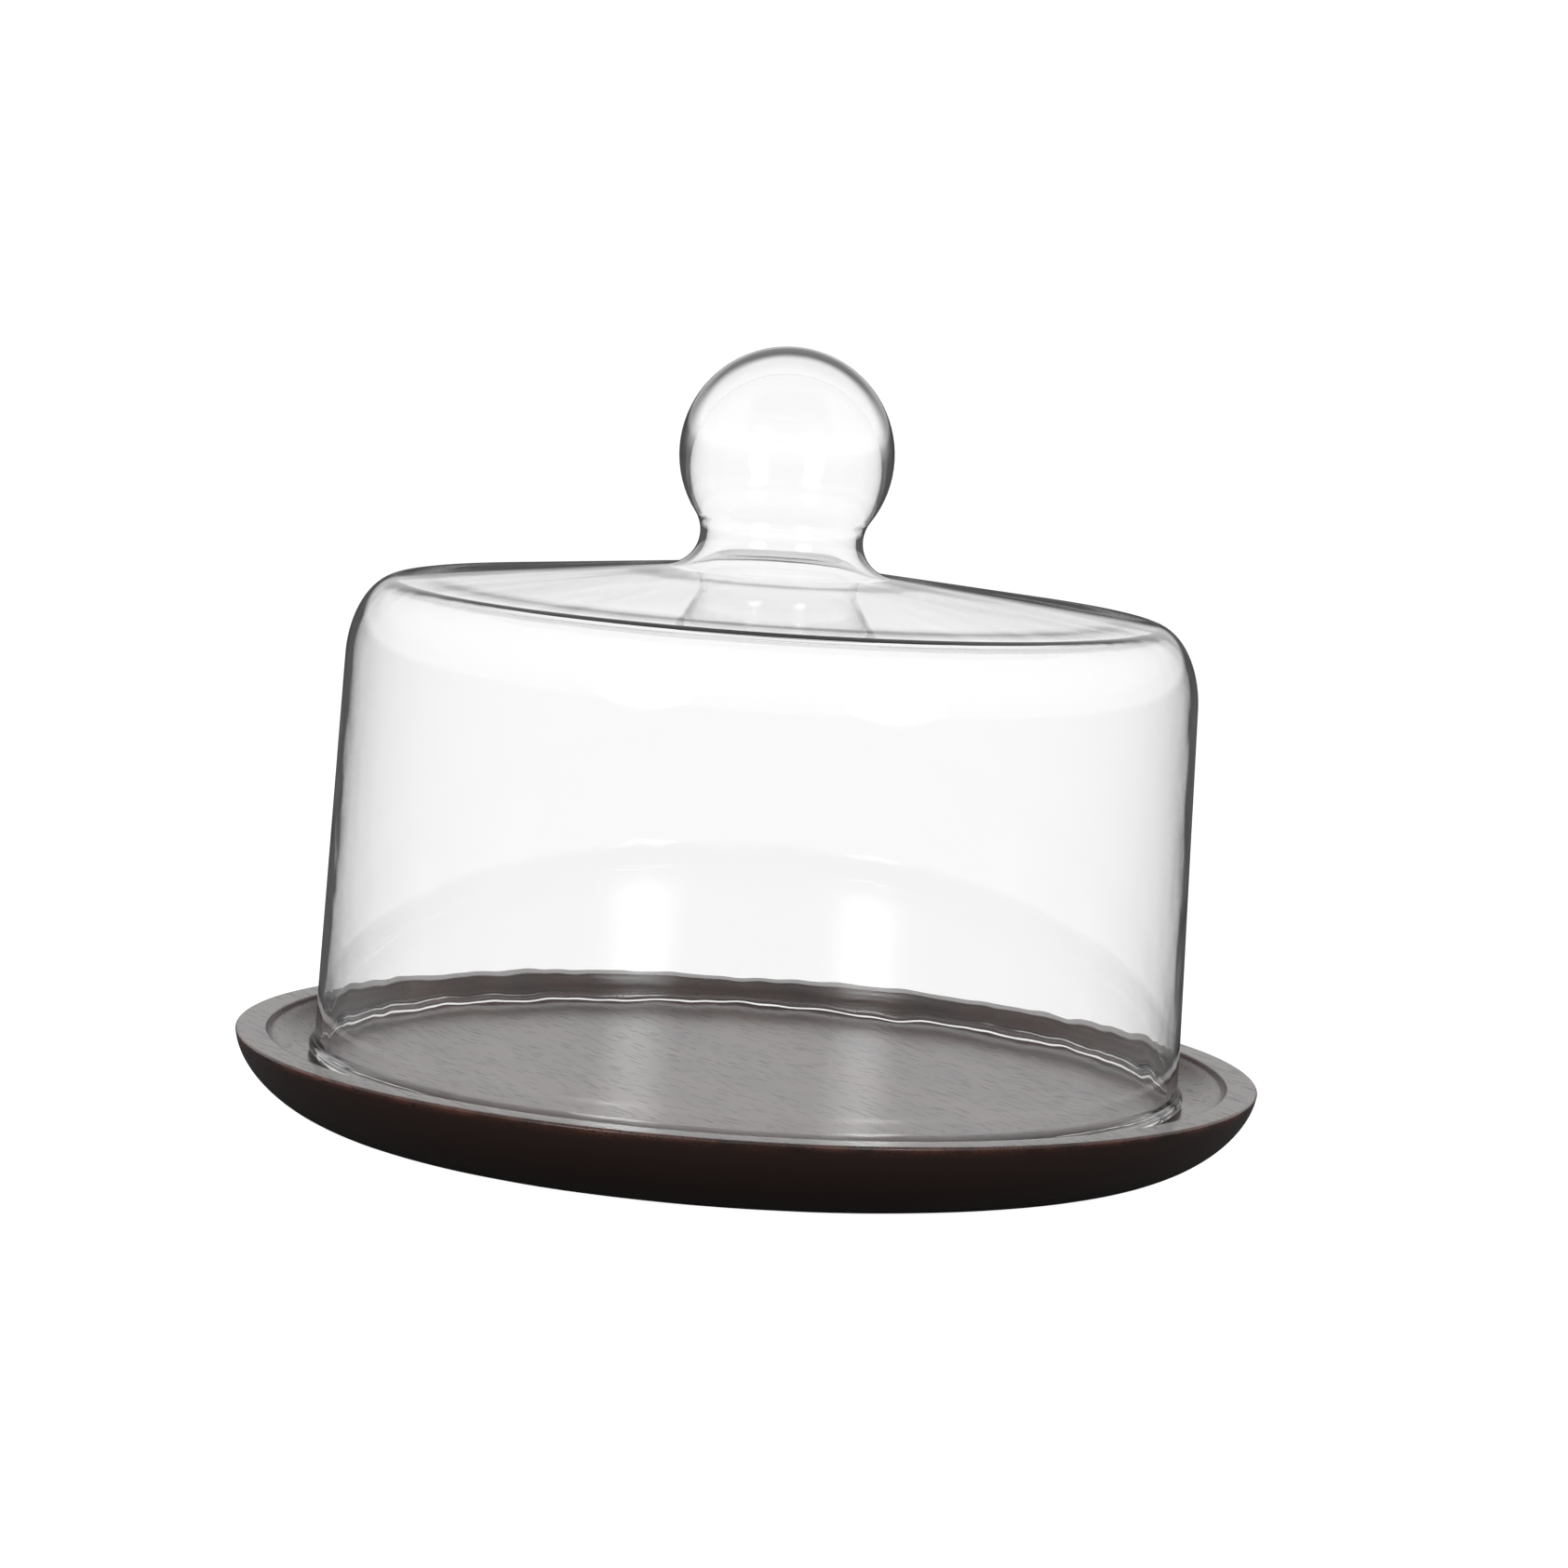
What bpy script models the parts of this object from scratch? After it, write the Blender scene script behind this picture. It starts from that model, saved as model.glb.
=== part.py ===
"""Glass cloche on a turned wooden tray, as two loose pieces.

A clear blown dome with a hollow ball knob stands inside the shallow recess of a round,
dark stained tray and lifts straight off it. Units are metres and +Z is up. The origin is
the centre of the tray's underside, on the axis that both pieces are turned about.
"""
import math

import bpy

MM = 0.001

# Tray: one turned disc of wood, bowl-sided, with a shallow recess in its top.
TRAY_RADIUS = 113.0 * MM
TRAY_HEIGHT = 18.0 * MM
TRAY_FOOT_RADIUS = 90.0 * MM        # where the flat underside begins to curve up
TRAY_SIDE_POWER = 1.72              # superellipse power of the bowl side; 2 is an ellipse
RIM_WIDTH = 6.8 * MM                # flat ring between the recess and the outer edge
RIM_EDGE_RADIUS = 0.6 * MM
RECESS_DEPTH = 4.8 * MM
RECESS_COVE_WIDTH = 8.5 * MM        # the recess's side sweeps in to its floor as an ellipse
RECESS_EDGE_RADIUS = 0.4 * MM

# Dome: one blown shell, open below, whose knob is hollow and joins the inside.
SEAT_GAP = 0.3 * MM                 # clearance under the dome's rolled lip
OVERALL_HEIGHT = 174.0 * MM         # from the table to the top of the knob
DOME_RADIUS = 95.65 * MM            # outer wall at the lip
DOME_TAPER = 0.0222                 # the wall leans in by this much per unit of height
GLASS_WALL = 1.5 * MM
LIP_THICKNESS = 2.4 * MM
LIP_OUTER_RADIUS = 96.85 * MM
CROWN_APEX_HEIGHT = 127.5 * MM      # where the shallow crown would meet the axis
CROWN_SLOPE = 0.108
SHOULDER_WIDTH = 10.0 * MM
SHOULDER_DROP = 17.0 * MM

KNOB_RADIUS = 23.6 * MM
KNOB_HOLLOW_RADIUS = 21.0 * MM
KNOB_TOP_WALL = 5.0 * MM            # the blown ball is thickest at its top
NECK_RADIUS = 17.9 * MM
NECK_HEIGHT = 132.4 * MM            # height of the narrowest place

LIP_START = 45.0                    # the rolled lip's arc, in degrees from straight out:
LIP_END = -205.0                    # down round its outside, under it and up its inside

# How finely the curves are cut.
TURN_STEPS = 64
BALL_STEPS = 12
UPPER_NECK_STEPS = 3
LOWER_NECK_STEPS = 5
SHOULDER_STEPS = 6
INNER_SHOULDER_STEPS = 5
LIP_STEPS = 8
SIDE_STEPS = 12
COVE_STEPS = 8
INNER_EDGE_STEPS = 2
OUTER_EDGE_STEPS = 3
MERGE_DISTANCE = 0.00001


def clear_scene():
    """Remove whatever the scene holds already."""
    for item in list(bpy.data.objects):
        bpy.data.objects.remove(item, do_unlink=True)


def make_material(name, colour, roughness, transmission=0.0, ior=1.5):
    """A Principled material with the piece's own colour and gloss."""
    material = bpy.data.materials.new(name)
    material.use_nodes = True
    shader = material.node_tree.nodes["Principled BSDF"]
    shader.inputs["Base Color"].default_value = (*colour, 1.0)
    shader.inputs["Roughness"].default_value = roughness
    shader.inputs["Metallic"].default_value = 0.0
    shader.inputs["Transmission Weight"].default_value = transmission
    shader.inputs["IOR"].default_value = ior
    return material


def arc(centre, radius, start, end, steps):
    """Points (r, z) on a circle about centre, from angle start to end in degrees."""
    points = []
    for step in range(steps + 1):
        angle = math.radians(start + (end - start) * step / steps)
        points.append((centre[0] + radius * math.cos(angle), centre[1] + radius * math.sin(angle)))
    return points


def bowl_side(steps):
    """The tray's side, from just under its edge down to the foot, as a superellipse."""
    reach = TRAY_RADIUS - TRAY_FOOT_RADIUS
    points = []
    for step in range(1, steps + 1):
        angle = math.pi / 2 * step / steps
        out = abs(math.cos(angle)) ** (2 / TRAY_SIDE_POWER)
        drop = math.sin(angle) ** (2 / TRAY_SIDE_POWER)
        points.append((TRAY_FOOT_RADIUS + reach * out, TRAY_HEIGHT * (1 - drop)))
    return points


def recess_cove(recess, steps):
    """The recess's side, from the edge of its floor up to its rounded edge, as an ellipse."""
    floor = TRAY_HEIGHT - RECESS_DEPTH
    rise = RECESS_DEPTH - RECESS_EDGE_RADIUS
    points = []
    for step in range(steps + 1):
        angle = math.pi / 2 * step / steps
        points.append((recess - RECESS_COVE_WIDTH * (1 - math.sin(angle)),
                       floor + rise * (1 - math.cos(angle))))
    return points


def tray_profile():
    """The tray's outline from the centre of its floor, over the rim and under to the axis."""
    recess = TRAY_RADIUS - RIM_WIDTH
    edge_in = (recess + RECESS_EDGE_RADIUS, TRAY_HEIGHT - RECESS_EDGE_RADIUS)
    edge_out = (TRAY_RADIUS - RIM_EDGE_RADIUS, TRAY_HEIGHT - RIM_EDGE_RADIUS)
    points = [(0.0, TRAY_HEIGHT - RECESS_DEPTH)]
    points += recess_cove(recess, COVE_STEPS)
    points += arc(edge_in, RECESS_EDGE_RADIUS, 180, 90, INNER_EDGE_STEPS)[1:]
    points += arc(edge_out, RIM_EDGE_RADIUS, 90, 0, OUTER_EDGE_STEPS)
    side = bowl_side(SIDE_STEPS)
    points += [point for point in side if point[1] < edge_out[1] - RIM_EDGE_RADIUS]
    points.append((0.0, 0.0))
    return points


def wall_radius(height, inset):
    """The dome wall's radius at a height; inset 0 is the outside face."""
    floor = TRAY_HEIGHT - RECESS_DEPTH
    return DOME_RADIUS - inset - DOME_TAPER * (height - floor)


def knob_and_neck(ball_radius, ball_height, neck_radius, apex):
    """One face of the knob from its top to the crown, all arcs that meet tangentially."""
    rise = ball_height - NECK_HEIGHT
    upper = (neck_radius ** 2 + rise ** 2 - ball_radius ** 2) / (2 * (ball_radius - neck_radius))
    ball_end = math.degrees(math.atan2(-rise, neck_radius + upper))
    slope = math.atan(CROWN_SLOPE)
    lower = (NECK_HEIGHT - apex + CROWN_SLOPE * neck_radius) / (1 / math.cos(slope) - CROWN_SLOPE)
    points = arc((0.0, ball_height), ball_radius, 90, ball_end, BALL_STEPS)
    points[0] = (0.0, ball_height + ball_radius)
    points += arc((neck_radius + upper, NECK_HEIGHT), upper, 180 + ball_end, 180,
                  UPPER_NECK_STEPS)[1:]
    points += arc((neck_radius + lower, NECK_HEIGHT), lower, 180, 270 - math.degrees(slope),
                  LOWER_NECK_STEPS)[1:]
    return points


def crown_and_shoulder(inset, apex, steps):
    """One face of the crown's edge and shoulder, down to where the wall begins."""
    width = SHOULDER_WIDTH - inset
    drop = SHOULDER_DROP - inset
    edge = wall_radius(apex - CROWN_SLOPE * DOME_RADIUS - drop, inset)
    points = []
    for step in range(steps + 1):
        angle = math.pi / 2 * step / steps
        radius = edge - width + width * math.sin(angle)
        height = apex - CROWN_SLOPE * radius - drop * (1 - math.cos(angle))
        points.append((radius, height))
    return points


def dome_profile():
    """The dome's outline: down its outside, round the rolled lip and up its inside."""
    lip_radius = LIP_THICKNESS / 2
    lip = (LIP_OUTER_RADIUS - lip_radius, TRAY_HEIGHT - RECESS_DEPTH + SEAT_GAP + lip_radius)
    inner_apex = CROWN_APEX_HEIGHT - GLASS_WALL * math.hypot(1, CROWN_SLOPE)
    hollow_height = OVERALL_HEIGHT - KNOB_TOP_WALL - KNOB_HOLLOW_RADIUS

    outside = knob_and_neck(KNOB_RADIUS, OVERALL_HEIGHT - KNOB_RADIUS, NECK_RADIUS,
                            CROWN_APEX_HEIGHT)
    outside += crown_and_shoulder(0.0, CROWN_APEX_HEIGHT, SHOULDER_STEPS)
    lip_top = lip[1] + LIP_THICKNESS
    outside.append((wall_radius(lip_top, 0.0), lip_top))

    inside = knob_and_neck(KNOB_HOLLOW_RADIUS, hollow_height, NECK_RADIUS - GLASS_WALL, inner_apex)
    inside += crown_and_shoulder(GLASS_WALL, inner_apex, INNER_SHOULDER_STEPS)
    inside.append((wall_radius(lip_top, GLASS_WALL), lip_top))
    return outside + arc(lip, lip_radius, LIP_START, LIP_END, LIP_STEPS) + inside[::-1]


def turn(name, profile, material):
    """Turn a profile of (r, z) points about the Z axis into a closed, smooth solid."""
    mesh = bpy.data.meshes.new(name)
    points = [(radius, 0.0, height) for radius, height in profile]
    mesh.from_pydata(points, [(index, index + 1) for index in range(len(points) - 1)], [])
    mesh.materials.append(material)
    piece = bpy.data.objects.new(name, mesh)
    bpy.context.scene.collection.objects.link(piece)
    screw = piece.modifiers.new("turn", "SCREW")
    screw.axis = "Z"
    screw.angle = 2 * math.pi
    screw.steps = TURN_STEPS
    screw.render_steps = TURN_STEPS
    screw.use_merge_vertices = True
    screw.merge_threshold = MERGE_DISTANCE
    screw.use_smooth_shade = True
    return piece


def main():
    """Build the tray, then the dome that stands in it."""
    clear_scene()
    wood = make_material("walnut_stained_wood", (0.075, 0.035, 0.025), 0.42)
    glass = make_material("blown_clear_glass", (0.97, 0.98, 0.98), 0.02, 1.0, 1.47)
    turn("wood_tray", tray_profile(), wood)
    turn("glass_dome", dome_profile(), glass)


main()
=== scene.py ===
"""Glass cloche on a turned wooden tray: the finished look, in a small white photo studio.

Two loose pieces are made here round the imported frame. The tray is a bowl-sided disc of wood
with a walnut stain under a thin satin lacquer. The dome is one shell of clear blown glass
whose hollow ball knob is part of it. Each is turned from an outline by one Geometry Nodes
tree, which also gives it the small unevenness of the real thing. Units are metres.
"""
import logging
import math
from collections.abc import Callable, Sequence
from dataclasses import dataclass, field
from enum import Enum

import bpy
from mathutils import Matrix, Vector


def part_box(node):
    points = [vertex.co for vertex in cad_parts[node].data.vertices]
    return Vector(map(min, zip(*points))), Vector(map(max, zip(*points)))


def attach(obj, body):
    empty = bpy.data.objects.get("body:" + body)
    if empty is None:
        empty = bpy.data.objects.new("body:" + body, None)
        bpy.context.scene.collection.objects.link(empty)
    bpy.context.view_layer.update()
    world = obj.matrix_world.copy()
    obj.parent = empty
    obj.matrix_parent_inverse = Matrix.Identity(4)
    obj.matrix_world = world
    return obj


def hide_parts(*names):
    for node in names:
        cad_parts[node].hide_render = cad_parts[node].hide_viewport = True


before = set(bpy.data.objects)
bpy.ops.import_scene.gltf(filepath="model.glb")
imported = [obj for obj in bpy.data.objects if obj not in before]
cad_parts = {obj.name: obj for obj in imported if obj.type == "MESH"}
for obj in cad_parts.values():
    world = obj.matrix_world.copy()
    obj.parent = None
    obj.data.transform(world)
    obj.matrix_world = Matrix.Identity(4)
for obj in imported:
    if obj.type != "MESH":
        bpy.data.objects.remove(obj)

MM = 0.001
WELD = 0.001 * MM
NOISE_RANGE = (0.3, 0.7)            # where nearly all of a noise texture's values lie
SEED_SHIFT = 10.0                   # keeps the sway's noise apart from the ripple's
WALL_PASSAGES = 2.0                 # a wall of glass has two faces to pass
ROOM_BOUNCE = 1.0                   # what reaching the room adds to a ray's bounces
Point = tuple[float, float]
Tree = bpy.types.NodeTree
Socket = bpy.types.NodeSocket
log = logging.getLogger("cloche")


class Face(Enum):
    """The stretch of an outline that a point lies on."""

    OUTSIDE = "outside"
    LIP = "lip"
    INSIDE = "inside"


class Seen(Enum):
    """Which rays meet a sheet of the studio."""

    BY_LENS = "lens"
    BY_PIECES = "pieces"


def linear(code: str) -> tuple[float, float, float, float]:
    """Turn an sRGB hex colour into the linear colour that shaders take.

    Args:
        code: six hex digits after a hash.
    Returns:
        Red, green, blue and an alpha of 1.
    """
    parts = [int(code[place:place + 2], 16) / 255 for place in (1, 3, 5)]
    red, green, blue = (part / 12.92 if part <= 0.04045 else ((part + 0.055) / 1.055) ** 2.4
                        for part in parts)
    return red, green, blue, 1.0


def add_node(tree: Tree, kind: str, inputs: dict | None = None,
             **settings: object) -> bpy.types.Node:
    """Add a node to a tree, with its settings and what feeds it.

    Args:
        tree: The tree that the node goes in.
        kind: Blender's name for the type of node.
        inputs: Socket name or number, and the value or output socket that goes there.
        settings: The node's own properties.
    Returns:
        The new node.
    """
    node = tree.nodes.new(kind)
    for name, value in settings.items():
        setattr(node, name, value)
    for socket, value in (inputs or {}).items():
        if isinstance(value, Socket):
            tree.links.new(value, node.inputs[socket])
        else:
            node.inputs[socket].default_value = value
    return node


def calculate(tree: Tree, operation: str, *values: float | Socket) -> Socket:
    """Add a math node.

    Args:
        tree: The tree that the node goes in.
        operation: Blender's name for the sum.
        values: What it is worked out from.
    Returns:
        The result.
    """
    return add_node(tree, "ShaderNodeMath", dict(enumerate(values)),
                    operation=operation).outputs[0]


def rescale(tree: Tree, value: Socket, source: Sequence, target: Sequence = (0.0, 1.0),
            smooth: bool = False) -> Socket:
    """Map a value from one range to another, and stop it at the second one's ends.

    Args:
        tree: The tree that the node goes in.
        value: The value.
        source: What maps to the target's two ends.
        target: The two ends.
        smooth: Whether it eases in and out.
    Returns:
        The mapped value.
    """
    return add_node(tree, "ShaderNodeMapRange",
                    {"Value": value, "From Min": source[0], "From Max": source[1],
                     "To Min": target[0], "To Max": target[1]},
                    interpolation_type="SMOOTHSTEP" if smooth else "LINEAR").outputs[0]


def arc(centre: Point, radius: float, start: float, end: float, steps: int) -> list[Point]:
    """Points on a circle.

    Args:
        centre: The circle's centre, as radius from the axis and height.
        radius: The circle's radius.
        start: Angle of the first point, in degrees from straight out.
        end: Angle of the last point.
        steps: Number of segments between them.
    Returns:
        The points, as radius from the axis and height.
    """
    angles = [math.radians(start + (end - start) * step / steps) for step in range(steps + 1)]
    return [(centre[0] + radius * math.cos(angle), centre[1] + radius * math.sin(angle))
            for angle in angles]


def run(start: Point, end: Point, steps: int) -> list[Point]:
    """Points inside a straight stretch, without its two ends.

    Args:
        start: Where the stretch begins.
        end: Where it ends.
        steps: Number of segments in it.
    Returns:
        The points between the ends.
    """
    shares = [step / steps for step in range(1, steps)]
    return [(start[0] + (end[0] - start[0]) * share, start[1] + (end[1] - start[1]) * share)
            for share in shares]


@dataclass
class Outline:
    """The outline that a piece is turned from, from the axis round its outer side and back."""

    points: list[Point] = field(default_factory=list)
    faces: list[Face] = field(default_factory=list)

    def add(self, points: list[Point], face: Face) -> None:
        """Add points along one face, leaving out one that repeats the last."""
        for point in points:
            if not self.points or math.dist(point, self.points[-1]) > WELD:
                self.points.append(point)
                self.faces.append(face)

    def mesh(self, name: str, ripple: Callable, sway: Callable) -> bpy.types.Mesh:
        """Make the outline a mesh of points that the lathe can read.

        Args:
            name: The mesh's name.
            ripple: Gives a point's share of the ripple from its height and face.
            sway: Gives a point's share of the sway from its height and face.
        Returns:
            A mesh of points and edges in the XZ plane, with both shares as attributes.
        """
        mesh = bpy.data.meshes.new(name)
        edges = [(index, index + 1) for index in range(len(self.points) - 1)]
        mesh.from_pydata([(radius, 0.0, height) for radius, height in self.points], edges, [])
        for label, rule in (("ripple", ripple), ("sway", sway)):
            shares = [rule(height, face) for (_, height), face in zip(self.points, self.faces)]
            mesh.attributes.new(label, "FLOAT", "POINT").data.foreach_set("value", shares)
        return mesh


@dataclass
class Lathe:
    """The Geometry Nodes tree that turns an outline into a closed piece.

    A grid is rolled up about the Z axis, one column of points for each step of the turn and
    one row for each point of the outline. Its ends meet in a seam, which is welded. A ripple
    then moves each point along its normal, and a sway moves it up or down.
    """

    name: str = "lathe"
    tree: Tree = field(init=False)

    def __post_init__(self) -> None:
        """Build the tree."""
        self.tree = bpy.data.node_groups.new(self.name, "GeometryNodeTree")
        self.declare()
        self.wire()

    def declare(self) -> None:
        """Name the tree's inputs and its output."""
        sockets = (("Outline", "Geometry"), ("Turn Steps", "Int"), ("Ripple Height", "Float"),
                   ("Ripple Length", "Float"), ("Sway Height", "Float"),
                   ("Sway Length", "Float"), ("Seed", "Float"), ("Finish", "Material"))
        for name, kind in sockets:
            self.tree.interface.new_socket(name, in_out="INPUT", socket_type="NodeSocket" + kind)
        self.tree.interface.new_socket("Piece", in_out="OUTPUT",
                                       socket_type="NodeSocketGeometry")

    def wire(self) -> None:
        """Roll the grid up, weld it, make it uneven and give it its finish."""
        tree = self.tree
        given = add_node(tree, "NodeGroupInput").outputs
        rows = add_node(tree, "GeometryNodeAttributeDomainSize",
                        {"Geometry": given["Outline"]}, component="MESH").outputs["Point Count"]
        columns = calculate(tree, "ADD", given["Turn Steps"], 1.0)
        grid = add_node(tree, "GeometryNodeMeshGrid",
                        {"Vertices X": columns, "Vertices Y": rows}).outputs["Mesh"]

        index = add_node(tree, "GeometryNodeInputIndex").outputs[0]
        row = calculate(tree, "MODULO", index, rows)
        whole = calculate(tree, "DIVIDE", index, rows)
        column = calculate(tree, "FLOOR", whole)
        turned = calculate(tree, "DIVIDE", column, given["Turn Steps"])
        angle = calculate(tree, "MULTIPLY", turned, -2 * math.pi)

        place = add_node(tree, "GeometryNodeInputPosition").outputs[0]
        point = add_node(tree, "GeometryNodeSampleIndex",
                         {"Geometry": given["Outline"], "Value": place, "Index": row},
                         data_type="FLOAT_VECTOR").outputs["Value"]
        rolled = add_node(tree, "ShaderNodeVectorRotate", {"Vector": point, "Angle": angle},
                          rotation_type="Z_AXIS").outputs[0]
        shape = add_node(tree, "GeometryNodeSetPosition",
                         {"Geometry": grid, "Position": rolled}).outputs[0]
        for label in ("ripple", "sway"):
            share = add_node(tree, "GeometryNodeInputNamedAttribute", {"Name": label},
                             data_type="FLOAT").outputs["Attribute"]
            sampled = add_node(tree, "GeometryNodeSampleIndex",
                               {"Geometry": given["Outline"], "Value": share, "Index": row},
                               data_type="FLOAT").outputs["Value"]
            shape = add_node(tree, "GeometryNodeStoreNamedAttribute",
                             {"Geometry": shape, "Name": label, "Value": sampled},
                             data_type="FLOAT", domain="POINT").outputs[0]
        shape = add_node(tree, "GeometryNodeMergeByDistance",
                         {"Geometry": shape, "Distance": WELD}).outputs[0]

        normal = add_node(tree, "GeometryNodeInputNormal").outputs["Normal"]
        upward = add_node(tree, "ShaderNodeCombineXYZ", {"Z": 1.0}).outputs[0]
        moves = (("ripple", "Ripple Height", "Ripple Length", normal, 0.0),
                 ("sway", "Sway Height", "Sway Length", upward, SEED_SHIFT))
        for label, height, length, direction, shift in moves:
            scale = calculate(tree, "DIVIDE", 1.0, given[length])
            seed = calculate(tree, "ADD", given["Seed"], shift)
            noise = add_node(tree, "ShaderNodeTexNoise",
                             {"Vector": place, "W": seed, "Scale": scale, "Detail": 1.0},
                             noise_dimensions="4D").outputs[0]
            centred = rescale(tree, noise, NOISE_RANGE, (-1.0, 1.0))
            share = add_node(tree, "GeometryNodeInputNamedAttribute", {"Name": label},
                             data_type="FLOAT").outputs["Attribute"]
            most = calculate(tree, "MULTIPLY", share, given[height])
            amount = calculate(tree, "MULTIPLY", centred, most)
            offset = add_node(tree, "ShaderNodeVectorMath", {0: direction, "Scale": amount},
                              operation="SCALE").outputs[0]
            shape = add_node(tree, "GeometryNodeSetPosition",
                             {"Geometry": shape, "Offset": offset}).outputs[0]
            shape = add_node(tree, "GeometryNodeRemoveAttribute",
                             {"Geometry": shape, "Name": label}).outputs[0]

        smooth = add_node(tree, "GeometryNodeSetShadeSmooth", {"Geometry": shape}).outputs[0]
        real = add_node(tree, "GeometryNodeRealizeInstances", {"Geometry": smooth}).outputs[0]
        dressed = add_node(tree, "GeometryNodeSetMaterial",
                           {"Geometry": real, "Material": given["Finish"]}).outputs[0]
        add_node(tree, "NodeGroupOutput", {"Piece": dressed})

    def turn(self, name: str, outline: bpy.types.Mesh, sizes: dict[str, object]
             ) -> bpy.types.Object:
        """Turn an outline and keep the result as a plain mesh.

        Args:
            name: The piece's name.
            outline: The mesh that Outline.mesh made.
            sizes: The tree's named inputs and their values.
        Returns:
            The piece, at the origin and with no modifier.
        """
        blank = bpy.data.objects.new(name + "_outline", outline)
        bpy.context.scene.collection.objects.link(blank)
        modifier = blank.modifiers.new("lathe", "NODES")
        modifier.node_group = self.tree
        for socket in self.tree.interface.items_tree:
            if socket.in_out == "INPUT" and socket.name in sizes:
                modifier[socket.identifier] = sizes[socket.name]
        graph = bpy.context.evaluated_depsgraph_get()
        mesh = bpy.data.meshes.new_from_object(blank.evaluated_get(graph))
        mesh.name = name
        bpy.data.objects.remove(blank)
        bpy.data.meshes.remove(outline)
        piece = bpy.data.objects.new(name, mesh)
        bpy.context.scene.collection.objects.link(piece)
        return piece


@dataclass(frozen=True)
class BlownGlass:
    """Clear borosilicate glass, blown and fire polished.

    A flame leaves it with no grain at all, so it has no roughness. It is almost without
    colour, and its index is a little under that of window glass.
    """

    tint: str = "#fefefe"
    index: float = 1.47

    def material(self) -> bpy.types.Material:
        """Make the material."""
        material = bpy.data.materials.new("blown_borosilicate_glass")
        material.use_nodes = True
        shader = material.node_tree.nodes["Principled BSDF"]
        shader.inputs["Base Color"].default_value = linear(self.tint)
        shader.inputs["Roughness"].default_value = 0.0
        shader.inputs["IOR"].default_value = self.index
        shader.inputs["Transmission Weight"].default_value = 1.0
        return material


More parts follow.
